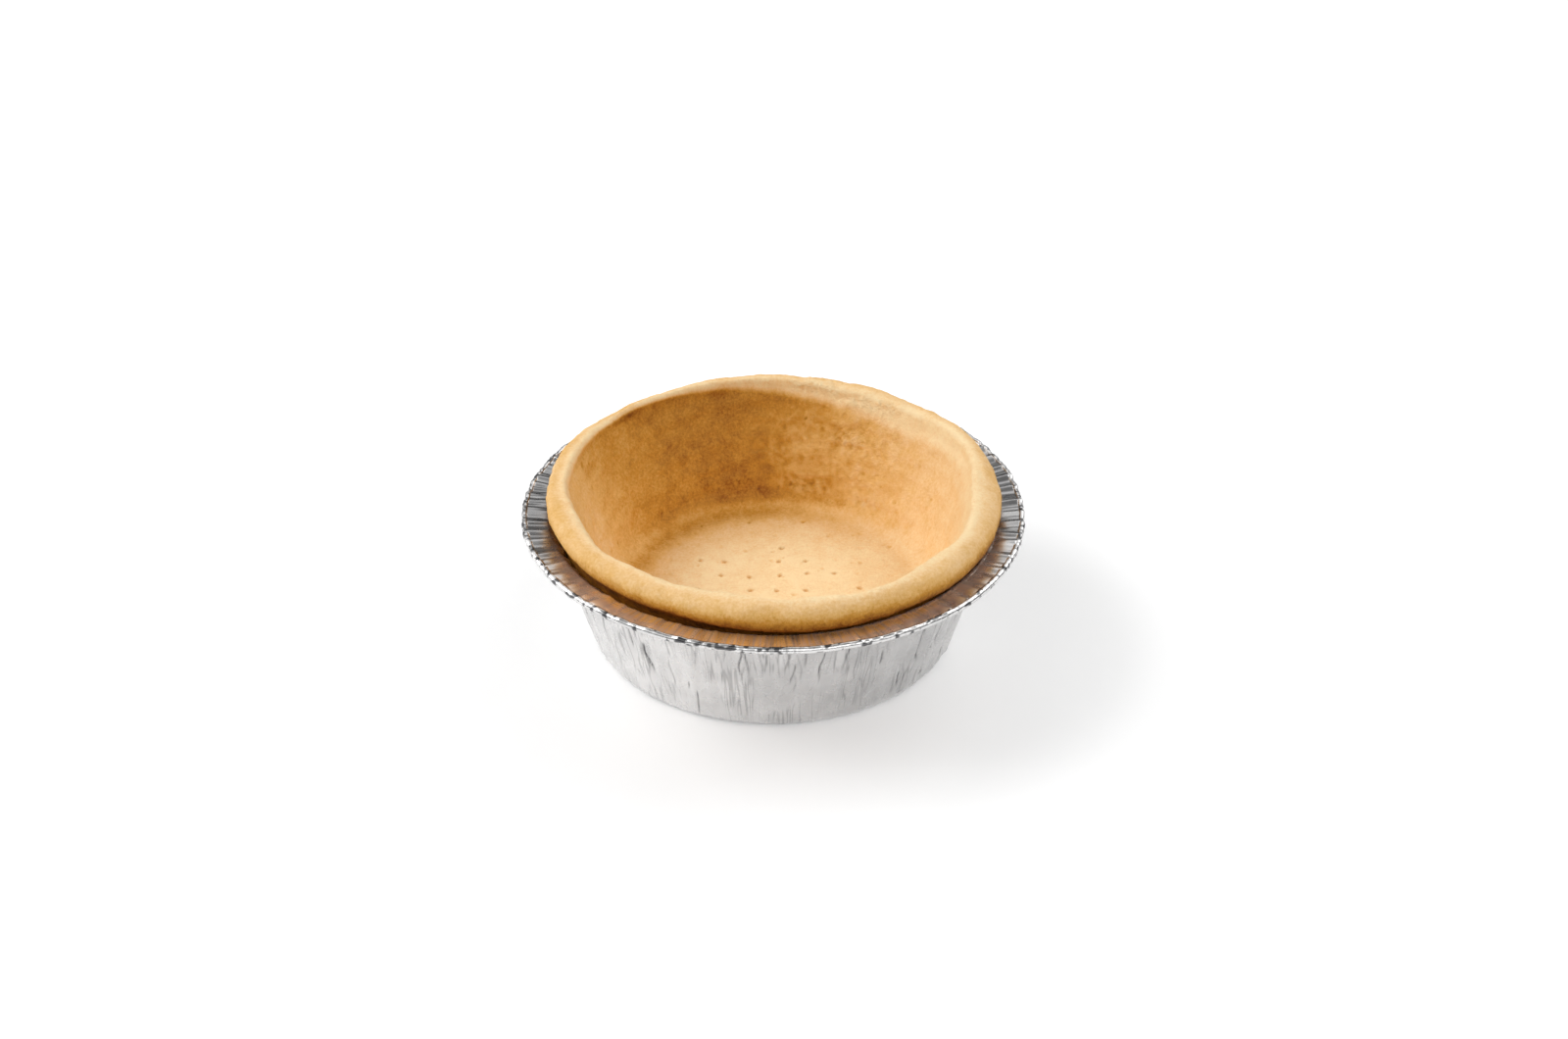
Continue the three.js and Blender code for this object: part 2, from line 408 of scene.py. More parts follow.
def wall_creases(angle, height):
    """How far the thin slanting creases stand off the wall, and how much painted shade darkens each
    place inside them.
    """
    random = random_stream(CREASE_SEED)
    wall_height = WALL_HEAD[1]
    share = (height - wall_height / 2) / wall_height
    total = np.zeros(np.broadcast(angle, height).shape)
    crease_shade = np.zeros_like(total)
    for _ in range(CREASES):
        centre = next(random) * TAU
        slant = either_way(random, CREASE_SLANT)
        bend = either_way(random, CREASE_BEND)
        width = mix(*CREASE_WIDTH, next(random))
        tight = next(random) ** 2
        depth = mix(*CREASE_DEPTH, tight) * (1 if next(random) < OUTWARD_CREASES else -1)
        length = wall_height * mix(*CREASE_LENGTH, next(random))
        top = wall_height * mix(*CREASE_TOP, next(random) ** CREASE_CROWDING)
        low = top - length
        middle = slant * share + bend * np.cos(TAU * height / CREASE_WAVE + centre)
        away = np.abs(turn_between(angle, centre) * wall_radius(height) - middle)
        rise = smooth(low, low + length * CREASE_FADE[0], height)
        fall = smooth(top - length * CREASE_FADE[1], top, height)
        ridge = np.maximum(0, 1 - away / width) * rise * (1 - fall)
        total += depth * ridge
        # Painted shade inside the inward creases.
        if depth < 0:
            crease_shade = np.maximum(crease_shade, ridge * mix(PALEST_CREASE, 1, tight))
    return total, crease_shade


def folds(angle, distance, count, seed):
    """Sharp-edged folds, from -1 to 1, that run along distance and stray and fade as they go."""
    depths = np.random.default_rng(seed).uniform(-1, 1, (count, FOLD_STEPS))
    upwards = distance * FOLD_DRIFT_SQUEEZE
    around = (DISH_RADIUS * np.cos(angle), DISH_RADIUS * np.sin(angle), upwards)
    places = np.stack(np.broadcast_arrays(*around), -1) + FOLD_SHIFT
    stray = lumps(places, FOLD_DRIFT_SIZE, seed + 1) * FOLD_DRIFT
    across = (angle + stray / DISH_RADIUS) * count / TAU
    along = distance / FOLD_STEP
    column, step = np.floor(across).astype(int), np.floor(along).astype(int)

    def between_columns(row):
        row = row % FOLD_STEPS
        return mix(depths[column % count, row], depths[(column + 1) % count, row], across - column)

    return mix(between_columns(step), between_columns(step + 1), smooth(0, 1, along - step))


def foil_dish():
    profile = dish_profile()
    angle = (np.arange(DISH_COLUMNS) * TAU / DISH_COLUMNS)[:, None]
    pleat_angles, pleat_depths = pleat_table()
    pleat = np.interp(angle, pleat_angles, pleat_depths, period=TAU)
    distance = profile["height"] + profile["radius"] - BASE_RADIUS
    fold = folds(angle, distance, FOLDS, FOLD_SEED)
    small_fold = folds(angle, distance, FOLDS * 2, SMALL_FOLD_SEED)
    crease, crease_shade = wall_creases(angle, profile["height"])

    def folded(amounts):
        return fold * amounts[0] + small_fold * amounts[1]

    stand_off = pleat * WALL_PLEAT * profile["pleat"]
    stand_off = stand_off + (crease + fold * WALL_FOLD) * profile["crease"]
    radius = profile["radius"] + np.maximum(stand_off, DEEPEST_CREASE)
    radius = radius + (folded(BEAD_FOLD_OUT) - BEAD_INSET) * profile["bead"]
    bend = EDGE_DIP * np.cos(2 * (angle - EDGE_DIP_ANGLE))
    height = profile["height"] - bend * profile["dip"]
    height = height + (pleat * FLANGE_PLEAT + folded(FLANGE_FOLD)) * profile["ripple"]
    height = height + folded(BEAD_FOLD_UP) * profile["bead"]
    points = np.stack([radius * np.cos(angle), radius * np.sin(angle), height], -1)
    piece = revolved("foil_shell", points, (0, 0, 0), (0, 0, FOIL))

    # Painted shade in the flange's small folds, and painted dark reflections in dashes along the
    # curled edge.
    pinch_shade = smooth(0.1, 0.9, -small_fold) * PINCH_DARKNESS * profile["ripple"]
    dark_reflection = lumps(points + LUMP_SHIFT, DASH_SIZE, DASH_SEED) + bumps(DARK_BEAD_SPOTS, angle)
    dashes = smooth(0.25, 0.6, dark_reflection) * DASH_DARKNESS * profile["bead"]
    # Stores the painted shade of the creases and folds and the painted dark reflections along the
    # curled edge.
    paint(piece, "fold_shade_and_reflection", np.maximum(crease_shade * profile["crease"], np.maximum(pinch_shade, dashes)))
    # Brown painted on the flange and round the mouth as the crust's reflection.
    by_mouth = 1 - smooth(*MOUTH_REFLECTION, profile["radius"] - MOUTH_RADIUS)
    reflected_crust = bumps(BROWN_FLANGE_SPOTS, angle) + bumps(BROWN_MOUTH_SPOTS, angle) * by_mouth
    paint(piece, "crust_reflection", profile["ripple"] * np.minimum(1, reflected_crust))
    # Painted shade that darkens parts of the flange and of the wall, where their reflections are
    # darker.
    shaded_flange = bumps(SHADED_FLANGE_SPOTS, angle) * profile["ripple"]
    shaded_wall = bumps(SHADED_WALL_SPOTS, angle) * profile["crease"]
    paint(piece, "painted_shade", shaded_flange + shaded_wall)
    piece.data.materials.append(foil_material())
    return piece


# ---- The pastry case ----

RIM_SQUARENESS = 3  # of the rim's inner side, where 2 is round
ROUNDING_PASSES = 5
CREST_Z = CASE_HEIGHT - RIM_ROUND
# What a row of the case's profile takes a share of.
CASE_SHARES = (
    "raised",
    "thicken",
    "inwards",
    "bulge",
    "lift",
    "crumb",
    "crown",
    "outer",
    "valley",
    "lining",
    "gap",
    "wall",
    "floor",
)


def rim_side(count):
    """The rim's outer face, from the lip up to its widest place."""
    start, end = (RIM_RADIUS, LIP_Z + LIP_ROUND), (RIM_RADIUS, CREST_Z)
    climb = np.arange(count) / count
    shares = {"lift": 1 - climb, "raised": climb, "inwards": -climb}
    return {**line(start, end, count, bulge=1, crumb=1, outer=1), **shares}


def rim_crown(count):
    """The rounded top of the rim, squarer on its inner side."""
    angle = math.pi * np.arange(count) / count
    across, up = np.cos(angle), np.sin(angle)
    corner = (np.abs(across) ** RIM_SQUARENESS + up**RIM_SQUARENESS) ** (-1 / RIM_SQUARENESS)
    stretch = mix(1, corner, smooth(math.pi * 0.45, math.pi * 0.6, angle))
    share = (1 - across * stretch) / 2
    full = np.ones(count)
    return {
        "radius": RIM_RADIUS - RIM_THICKNESS * share,
        "height": CREST_Z + RIM_ROUND * up * stretch,
        "raised": full,
        "crumb": full,
        "crown": full,
        "thicken": share,
        "bulge": 1 - share,
        "inwards": 2 * share - 1,
        "outer": 1 - smooth(0.35, 0.75, share),
        "valley": 1 - smooth(0.1, 0.35, np.abs(share - 0.5)),
        "lining": smooth(0.75, 0.95, share),
    }


def case_profile():
    """The case's section: out under it, up its hidden side, over the rim and into the well."""
    bottom = FOIL + CLEARANCE
    inset = FOIL + WALL_PLEAT + CLEARANCE
    base_edge = (BASE_RADIUS - BASE_CHAMFER, bottom)
    low_side = (BASE_RADIUS + SIDE_STEP, bottom + 1)
    side_start, side_end = BASE_FILLET + SIDE_STEP, WALL_HEAD[1] - SIDE_STEP
    side_foot = (wall_radius(side_start) - inset, side_start)
    side_head = (wall_radius(side_end) - inset, side_end)
    lip = (RIM_RADIUS - LIP_ROUND, LIP_Z + LIP_ROUND)
    rim_inner = (RIM_RADIUS - RIM_THICKNESS, CREST_Z)
    slope = (RIM_RADIUS - RIM_THICKNESS - WELL_RADIUS) / (CREST_Z - FLOOR_Z)
    fillet_top = FLOOR_Z + WELL_FILLET
    foot = (WELL_RADIUS + slope * WELL_FILLET, fillet_top)
    sag = WELL_FILLET * FILLET_SAG
    middle = (WELL_RADIUS - sag, FLOOR_Z + sag)
    floor_edge = (WELL_RADIUS - WELL_FILLET, FLOOR_Z)
    profile = joined(
        [
            line((1, bottom), base_edge, 2),
            line(base_edge, low_side, 2),
            line(low_side, side_foot, 1),
            line(side_foot, side_head, 5),
            line(side_head, NECK, 3, crumb=0.2, outer=1, gap=1),
            line(NECK, (lip[0], LIP_Z), 4, crumb=0.4, outer=1, gap=1),
            arc(lip, LIP_ROUND, -80, 0, 9, lift=1, bulge=1, crumb=0.7, outer=1),
            rim_side(8),
            rim_crown(30),
            line(rim_inner, foot, 44, wall=1, crumb=1, lining=1),
            line(foot, middle, 6, crumb=0.9, lining=1),
            line(middle, floor_edge, 6, crumb=0.7, lining=0.5, floor=0.5),
            line(floor_edge, (0.4, FLOOR_Z), 72, crumb=0.5, floor=1),
        ],
        CASE_SHARES,
    )
    climb = smooth(fillet_top, CREST_Z, profile["height"]) * profile["wall"]
    for name in ("raised", "thicken", "inwards"):
        profile[name] = profile[name] + climb
    return rounded(profile)


def rounded(profile):
    """Takes the corners between stretches off, by averaging each row with its neighbours."""
    for _ in range(ROUNDING_PASSES):
        for values in profile.values():
            values[1:-1] = (values[:-2] + 2 * values[1:-1] + values[2:]) / 4
    return profile


def pricks():
    """The docking holes that stayed open, by the solid's own rule, and those that closed up."""
    random = random_stream(PRICK_SEED)
    count = math.ceil(PRICK_REACH / min(PRICK_PITCH)) + 1
    still_open, closed = [], []
    for row in range(-count, count + 1):
        for pin in range(-count, count + 1):
            x = PRICK_ORIGIN[0] + pin * PRICK_PITCH[0] + either_way(random, PRICK_JITTER)
            y = PRICK_ORIGIN[1] + row * PRICK_PITCH[1] + either_way(random, PRICK_JITTER)
            away = math.hypot(x - PRICK_CENTRE[0], y - PRICK_CENTRE[1]) / PRICK_REACH
            if next(random) < PRICK_SHARE * (1 - away**2):
                still_open.append((x, y))
            else:
                closed.append((x, y))
    return still_open, closed


def holes(points, spots, radius):
    """1 in the middle of each spot, falling to 0 round it."""
    hole = np.zeros(points.shape[:-1])
    for x, y in spots:
        away = np.hypot(points[..., 0] - x, points[..., 1] - y)
        hole = np.maximum(hole, 1 - smooth(radius * HOLE_SIDE[0], radius * HOLE_SIDE[1], away))
    return hole


HOLE_SIDE = (0.3, 1.3)  # a hole is deepest up to the first and ends at the second, in its radii
CLOSED_PRICK_RADIUS = PRICK_RADIUS * 1.3
CLOSED_PRICK_DEPTH = 0.18

# The small pits that steam left.
PITS = 170
FLOOR_PITS = 0.35  # share of them in the floor
PIT_MARGINS = (2, 3)  # above the floor, and from the floor's edge and the rim's top
PIT_WALL_SLOPE = 0.375
PIT_RADIUS = (0.3, 0.8)
PIT_SPREAD = 1.3
PIT_DEPTH = (0.12, 0.45)
PIT_SEED = 53

# A shallow valley along the top of the rim: (angle in degrees, half width in degrees, share).
VALLEY_SPOTS = [(178, 45, 1), (-30, 60, 0.4), (100, 40, 0.3)]
VALLEY_DEPTH = 0.4

# Relief: (size of its lumps, height, seed).
SOFT_LUMPS = (5.5, 0.2, 61)
DRAGGED_LUMPS = (1.9, 0.14, 67)
GRAIN = (0.85, 0.1, 71)
GRAIN_RIDGES = (1.9, 0.12, 72)
WIDE_FLAKES = (3.1, 0.6, 73)
SMALL_FLAKES = (1.5, 0.6, 74)
DRAG = 0.45  # below 1, lumps are drawn out up the wall
RIDGE_LEVEL = 0.3
RIDGE_SQUEEZE = 1.3
RIDGE_SLANT = 0.5
FLOOR_RELIEF = 0.4  # as a share of the wall's

# How brown each place is, where 0 is pale and 1 is a deep golden brown. Some of this brown is
# painted shade, as marked below.
PALEST_BAKE = 0.06
DARKEST_BAKE = 1.2
BROWN_SIDE = (110, 3.2)  # (the lining's brownest side in degrees, narrowness)
BROWN_FLOOR_SIDE = (135, 1.5)
WALL_BAKE = 0.13
# Partly real browning and partly painted shade on the back-left of the lining, which lies in shade:
SIDE_BROWN = 0.66  # added on the brownest side
# Painted shade where the wall meets the floor, below the lower heights, and more brown above the
# upper ones:
END_BROWN = 0.08  # added there below the lower heights and above the upper ones
LOWER_HEIGHTS = (FLOOR_Z + 2, FLOOR_Z + 8)
UPPER_HEIGHTS = (29, 36)
BROWNEST_WALL = 0.8
WALL_START = (FLOOR_Z - 0.2, FLOOR_Z + 2.5)  # the floor's brown turns into the wall's
# How far below the rim's top the wall's brown ends, and how softly, away from the reach spots
# and in them.
BROWN_TOP = (5.7, 0.7)
BROWN_BLUR = (2, 0.45)
# Painted shade cast by the back wall on the floor, with some browning:
FLOOR_BROWN = 0.38  # added twice, each time growing over one of the stretches of radii
FLOOR_BROWN_RADII = ((13, 36), (28, 36))
# The rim's outer face grows browner towards the lip, partly real browning and partly painted shade
# where it curves under:
FACE_BROWN = (0.94, 0.28)  # of the rim's outer face, at the lip and higher up
FACE_HEIGHTS = (LIP_Z + 0.4, LIP_Z + 6)
# Painted shade in the gap between the rim and the foil:
GAP_SHADE = 0.05
BLOTCHES = (9, 0.08, 79)
SMALL_BLOTCHES = (3, 0.04, 83)
TORN_BAKE = (0.12, 0.5)  # less of it in torn places, and less still along their flakes
# Painted shade in the open prick holes, the closed ones and the steam pits:
OPEN_PRICK_SHADE = 0.7
CLOSED_PRICK_SHADE = 0.1
PIT_SHADE = 0.4
# Where the wall's brown reaches up to the rim, and where the rim's top and outer face are
# browner: (angle in degrees, half width in degrees, share).
BROWN_REACH_SPOTS = [(140, 95, 1)]
RIM_BAKE_SPOTS = [(-170, 60, 0.06), (-135, 20, 0.08), (137, 9, 0.2), (85, 45, 0.12)]
FACE_BAKE_SPOTS = [(-115, 25, 0.15), (-60, 30, 0.05)]

TORN_EDGE = (0.3, 1.3)  # where a torn place fades, as shares of its half width and half height
# The torn, flaky places: (angle in degrees, height, half width in degrees, half height, share).
ROUGH_PLACES = [
    (66, 24, 30, 15, 0.4),
    (76, 38.5, 12, 2.4, 0.55),
    (58, 37.5, 12, 2.2, 0.5),
    (64, 28, 9, 4, 0.7),
    (78, 14.5, 13, 4, 0.7),
    (54, 13, 9, 3, 0.6),
    (90, 22, 8, 4, 0.5),
]


def near(points, centre, radius):
    """1 at centre, falling smoothly to 0 at radius."""
    distance = np.linalg.norm(points - np.array(centre), axis=-1)
    return 1 - smooth(0, radius, distance)


def pits(points, inside):
    """The depth of the small pits that steam left in the wall and the floor."""
    random = random_stream(PIT_SEED)
    depth = np.zeros(points.shape[:-1])
    for _ in range(PITS):
        angle = next(random) * TAU
        if next(random) < FLOOR_PITS:
            radius = (WELL_RADIUS - PIT_MARGINS[1]) * math.sqrt(next(random))
            height = FLOOR_Z
        else:
            height = mix(FLOOR_Z + PIT_MARGINS[0], CASE_HEIGHT - PIT_MARGINS[1], next(random))
            radius = WELL_RADIUS + PIT_WALL_SLOPE * (height - FLOOR_Z)
        size = mix(*PIT_RADIUS, next(random))
        deep = mix(*PIT_DEPTH, next(random))
        centre = (radius * math.cos(angle), radius * math.sin(angle), height)
        depth = np.maximum(depth, deep * near(points, centre, size * PIT_SPREAD))
    return depth * inside


def torn_places(angle, height):
    """How torn the surface is, from 0 to 1."""
    total = np.zeros_like(height)
    for centre, level, half_width, half_height, share in ROUGH_PLACES:
        across = turn_between(angle, math.radians(centre)) / math.radians(half_width)
        up = (height - level) / half_height
        total = np.maximum(total, share * (1 - smooth(*TORN_EDGE, np.hypot(across, up))))
    return total


def ridges(points, size, seed):
    """Crooked sharp ridges, from -0.7 between them to 0.3 along them."""
    slanted = points.copy()
    slanted[..., 2] = slanted[..., 2] * RIDGE_SQUEEZE + slanted[..., 0] * RIDGE_SLANT
    return RIDGE_LEVEL - np.abs(lumps(slanted, size, seed))


def relief(kind, points, grade):
    """Lumps or ridges, by a grade of (size, height, seed)."""
    size, height, seed = grade
    return kind(points, size, seed) * height


def surface_normals(points):
    """Outward normals of a grid that closes on itself along its first axis."""
    along = np.roll(points, -1, axis=0) - np.roll(points, 1, axis=0)
    up = np.gradient(points, axis=1)
    normal = np.cross(along, up)
    return normal / np.maximum(np.linalg.norm(normal, axis=-1, keepdims=True), 1e-9)


def pressed_surface(profile, angle):
    """The points of the case as hands pressed it, before its crumb."""
    waves = 1
    for count, turn in RELIEF_WAVES:
        waves = waves * np.cos(count * angle + turn * profile["height"])
    radius = profile["radius"] - bumps(THICK_SPOTS, angle) * profile["thicken"]
    radius = radius + bumps(BULGE_SPOTS, angle) * profile["bulge"]
    radius = radius - waves * RELIEF * profile["wall"]
    height = profile["height"] + bumps(HIGH_SPOTS, angle) * profile["raised"]
    height = height + bumps(LEAN_SPOTS, angle) * profile["inwards"]
    height = height + bumps(LIP_SPOTS, angle) * profile["lift"]
    height = height - bumps(VALLEY_SPOTS, angle) * VALLEY_DEPTH * profile["valley"]
    return np.stack([radius * np.cos(angle), radius * np.sin(angle), height], -1)


def pastry_case():
    profile = case_profile()
    angle = (np.arange(CASE_COLUMNS) * TAU / CASE_COLUMNS)[:, None]
    points = pressed_surface(profile, angle)
    normal = surface_normals(points)

    torn = torn_places(angle, points[..., 2])
    torn = torn * smooth(0.1, 0.6, profile["wall"] + profile["crown"])
    places = points + LUMP_SHIFT
    dragged = places * (1, 1, DRAG)
    lump = relief(lumps, places, SOFT_LUMPS) + relief(lumps, dragged, DRAGGED_LUMPS)
    grain = relief(lumps, dragged, GRAIN) + relief(ridges, places, GRAIN_RIDGES)
    flake = relief(ridges, places, WIDE_FLAKES) + relief(ridges, places, SMALL_FLAKES)
    pit = pits(points, smooth(0.2, 0.8, profile["wall"] + profile["floor"]))
    still_open, closed = pricks()
    hole = holes(points, still_open, PRICK_RADIUS) * profile["floor"]
    dimple = holes(points, closed, CLOSED_PRICK_RADIUS) * profile["floor"]
    calm = mix(1, FLOOR_RELIEF, profile["floor"])
    offset = (lump + grain) * calm * profile["crumb"] + flake * torn - pit
    points = points + normal * offset[..., None]
    points[..., 2] -= hole * PRICK_DEPTH + dimple * CLOSED_PRICK_DEPTH

    floor_z = points[:, -1, 2].mean()
    piece = revolved("pastry_shell", points, (0, 0, FOIL + CLEARANCE), (0, 0, floor_z))
    # Browning from the oven, with the painted shade that is mixed into it.
    bake_and_shade = bake_and_shade_of(points, angle, profile) - torn * (TORN_BAKE[0] + flake * TORN_BAKE[1])
    # Painted shade in the pits and the closed prick holes, and below in the open ones.
    hole_shade = pit / PIT_DEPTH[1] * PIT_SHADE + dimple * CLOSED_PRICK_SHADE
    paint(piece, "bake_and_shade", np.clip(bake_and_shade, 0, DARKEST_BAKE))
    paint(piece, "torn", torn)
    paint(piece, "hole_shade", np.maximum(hole * OPEN_PRICK_SHADE, hole_shade))
    piece.data.materials.append(pastry_material())
    return piece


def bake_and_shade_of(points, angle, profile):
    """How brown each place is: the oven's browning, with painted shade at the wall's foot, on the
    floor by the back wall, towards the rim's lip and in the gap under it, and partly on the
    lining's brownest side.
    """
    height = points[..., 2]
    climb = smooth(*WALL_START, height)
    # Painted shade at the wall's foot and more brown at its top; the brownest side is partly
    # painted shade.
    ends = 1 + smooth(*UPPER_HEIGHTS, height) - smooth(*LOWER_HEIGHTS, height)
    wall = WALL_BAKE + (SIDE_BROWN + END_BROWN * ends) * towards(angle, *BROWN_SIDE)
    reach = bumps(BROWN_REACH_SPOTS, angle)
    top = CASE_HEIGHT - mix(*BROWN_TOP, reach)
    blur = mix(*BROWN_BLUR, reach)
    below_top = 1 - smooth(top - blur, top + blur, profile["height"])
    wall = np.minimum(BROWNEST_WALL, wall) * profile["lining"] * climb * below_top

    # Painted shade, with some browning, on the floor by the back-left wall.
    low = np.minimum(1, profile["lining"] + profile["floor"]) * (1 - climb)
    low = low * towards(angle, *BROWN_FLOOR_SIDE)
    low = low * FLOOR_BROWN * sum(smooth(*radii, profile["radius"]) for radii in FLOOR_BROWN_RADII)

    rim = bumps(RIM_BAKE_SPOTS, angle) * profile["crown"]
    # Browner towards the lip, partly painted shade; painted shade in the gap under the rim.
    upper = smooth(*FACE_HEIGHTS, height)
    face = mix(*FACE_BROWN, upper) + bumps(FACE_BAKE_SPOTS, angle) * (1 - upper)
    face = (face + profile["gap"] * GAP_SHADE) * profile["outer"]
    places = points + LUMP_SHIFT
    blotches = relief(lumps, places, BLOTCHES) + relief(lumps, places, SMALL_BLOTCHES)
    return wall + low + rim + face + blotches + PALEST_BAKE


# ---- Materials ----


def set_stops(ramp, stops):
    """Gives a colour ramp its stops: (place, colour)."""
    while len(ramp.elements) < len(stops):
        ramp.elements.new(0.5)
    for element, (place, colour) in zip(ramp.elements, stops):
        element.position = place
        element.color = (*colour, 1)


class Nodes:
    """Adds nodes to a material and joins them."""

    def __init__(self, name):
        self.material = bpy.data.materials.new(name)
        self.material.use_nodes = True
        self.tree = self.material.node_tree
        self.shader = self.tree.nodes["Principled BSDF"]

    def add(self, kind, **inputs):
        node = self.tree.nodes.new(kind)
        for name, value in inputs.items():
            self.join(value, node.inputs[name.replace("_", " ")])
        return node

    def join(self, value, socket):
        if isinstance(value, bpy.types.NodeSocket):
            self.tree.links.new(value, socket)
        else:
            socket.default_value = value

    def set(self, **inputs):
        for name, value in inputs.items():
            self.join(value, self.shader.inputs[name.replace("_", " ")])

    def noise(self, size_mm, detail, roughness=0.55):
        place = self.add("ShaderNodeTexCoord").outputs["Object"]
        node = self.add("ShaderNodeTexNoise", Vector=place, Scale=1 / (size_mm * MM), Detail=detail)
        node.inputs["Roughness"].default_value = roughness
        return node.outputs["Fac"]

    def vector(self, operation, first, second=(0, 0, 0)):
        node = self.add("ShaderNodeVectorMath")
        node.operation = operation
        self.join(first, node.inputs[0])
        self.join(second, node.inputs[1])
        return node.outputs["Vector"]

    def painted(self, name):
        """The number that paint() stored for each point."""
        node = self.add("ShaderNodeAttribute")
        node.attribute_name = name
        return node.outputs["Fac"]

    def streaks(self, size_mm, squeeze, detail):
        """Noise drawn out up the wall and across the flange, and fine around the axis."""
        place = self.add("ShaderNodeTexCoord").outputs["Object"]
        outwards = self.vector("NORMALIZE", self.vector("MULTIPLY", place, (1, 1, 0)))
        around = self.vector("MULTIPLY", outwards, (DISH_RADIUS * MM,) * 3)
        upwards = self.vector("MULTIPLY", place, (0, 0, squeeze))
        where = self.vector("ADD", around, upwards)
        node = self.add("ShaderNodeTexNoise", Vector=where, Scale=1 / (size_mm * MM), Detail=detail)
        return node.outputs["Fac"]

    def maths(self, operation, first, second):
        node = self.add("ShaderNodeMath")
        node.operation = operation
        self.join(first, node.inputs[0])
        self.join(second, node.inputs[1])
        return node.outputs[0]

    def plus(self, first, second):
        return self.maths("ADD", first, second)

    def minus(self, first, second):
        return self.maths("SUBTRACT", first, second)

    def times(self, first, second):
        return self.maths("MULTIPLY", first, second)

    def between(self, value, start_end, first_second):
        """The first number up to start, the second from end, and a smooth change between them."""
        node = self.add("ShaderNodeMapRange", Value=value)
        node.interpolation_type = "SMOOTHSTEP"
        names = ("From Min", "From Max", "To Min", "To Max")
        for name, number in zip(names, (*start_end, *first_second)):
            node.inputs[name].default_value = number
        return node.outputs["Result"]

    def ramp(self, value, stops):
        node = self.add("ShaderNodeValToRGB", Fac=value)
        set_stops(node.color_ramp, stops)
        return node.outputs["Color"]

    def blend(self, share, first, second):
        """The first colour where share is 0, the second where it is 1."""
        node = self.add("ShaderNodeMixRGB", Fac=share, Color1=first, Color2=second)
        return node.outputs["Color"]

    def bump(self, height, distance_mm, strength, normal=None):
        distance = distance_mm * MM
        node = self.add("ShaderNodeBump", Height=height, Distance=distance, Strength=strength)
        if normal:
            self.join(normal, node.inputs["Normal"])
        return node.outputs["Normal"]


def linear(red, green, blue):
    """A colour given as the 0 to 255 values of a screen, as linear light."""
    shares = [value / 255 for value in (red, green, blue)]
    return tuple(((v + 0.055) / 1.055) ** 2.4 if v > 0.04045 else v / 12.92 for v in shares)


# The foil's colours, by its shade: (place, colour).
FOIL_COLOURS = [(0, (0.02, 0.02, 0.025)), (1, (1, 0.99, 0.98))]
# Colours of the crust's painted reflection on the flange.
CRUST_REFLECTION_COLOURS = [(0, (0.02, 0.01, 0.005)), (0.8, (0.95, 0.46, 0.12))]
REFLECTION_COVER = 0.75  # share of the metal's shine that the crust's painted reflection hides
FOIL_SHADES = (0.69, 0.79)
FOIL_ROUGHNESS = (0.22, 0.34)
# How much the painted shade on the flange and the wall darkens the foil.
PAINTED_SHADE_DEPTH = 0.25
# How dark the fullest painted shade and painted dark reflection in the folds leave the foil.
GROOVE_SHADE = 0.12
# How dark the painted shade of the fine hairline creases gets.
HAIRLINE_SHADE = 0.3

# The pastry's colours, by how brown it is: (place, colour).
PASTRY_COLOURS = [
    (0.0, linear(251, 224, 176)),
    (0.2, linear(243, 203, 147)),
    (0.4, linear(229, 179, 104)),
    (0.6, linear(202, 142, 48)),
    (0.8, linear(152, 92, 16)),
    # The last stop is the dark of the painted shade in the gap under the rim.
    (1.0, linear(84, 42, 10)),
]
BROWN_SPAN = 1.25  # the bake that has the last of these colours
PASTRY_ROUGHNESS = 0.62
PASTRY_SPECULAR = 0.3
MOTTLE_BAKE = 0.42
SPECK_BAKE = 0.6
CRUMB_BAKE = 1.5


def foil_material():
    nodes = Nodes("foil")
    # Painted shade in fine hairline creases, in patches.
    off_line = nodes.maths("ABSOLUTE", nodes.minus(nodes.streaks(1.5, 0.1, 1), 0.5), 0)
    fine_crease_shade = nodes.between(off_line, (0, 0.06), (1, 0))
    patches = nodes.between(nodes.noise(11, 1), (0.45, 0.6), (0, HAIRLINE_SHADE))
    fine_crease_shade = nodes.times(fine_crease_shade, patches)
    shade = nodes.between(nodes.noise(9, 2), (0.3, 0.7), FOIL_SHADES)
    # Painted shade on parts of the flange and the wall.
    shade = nodes.minus(shade, nodes.times(nodes.painted("painted_shade"), PAINTED_SHADE_DEPTH))
    # Painted shade of the creases and folds, and painted dark reflections on the curled edge,
    # darken the colour here.
    fold_shade_and_reflection = nodes.between(nodes.painted("fold_shade_and_reflection"), (0, 1), (1, GROOVE_SHADE))
    shade = nodes.times(nodes.times(shade, fold_shade_and_reflection), nodes.minus(1, fine_crease_shade))
    # Painted reflection of the crust: brown and less metal, on the front of the flange and round
    # the mouth.
    painted_reflection = nodes.between(nodes.streaks(0.5, 0.3, 3), (0.2, 0.7), (0.6, 1))
    painted_reflection = nodes.times(painted_reflection, nodes.painted("crust_reflection"))
    colour = nodes.blend(painted_reflection, nodes.ramp(shade, FOIL_COLOURS), nodes.ramp(shade, CRUST_REFLECTION_COLOURS))
    metal = nodes.minus(1, nodes.times(painted_reflection, REFLECTION_COVER))
    gloss = nodes.between(nodes.noise(3, 4), (0, 1), FOIL_ROUGHNESS)
    nodes.set(Base_Color=colour, Metallic=metal, Roughness=gloss)
    broad = nodes.bump(nodes.streaks(1.5, 0.1, 1), 0.06, 0.7)
    nodes.set(Normal=nodes.bump(nodes.streaks(0.4, 0.12, 3), 0.03, 0.6, broad))
    return nodes.material


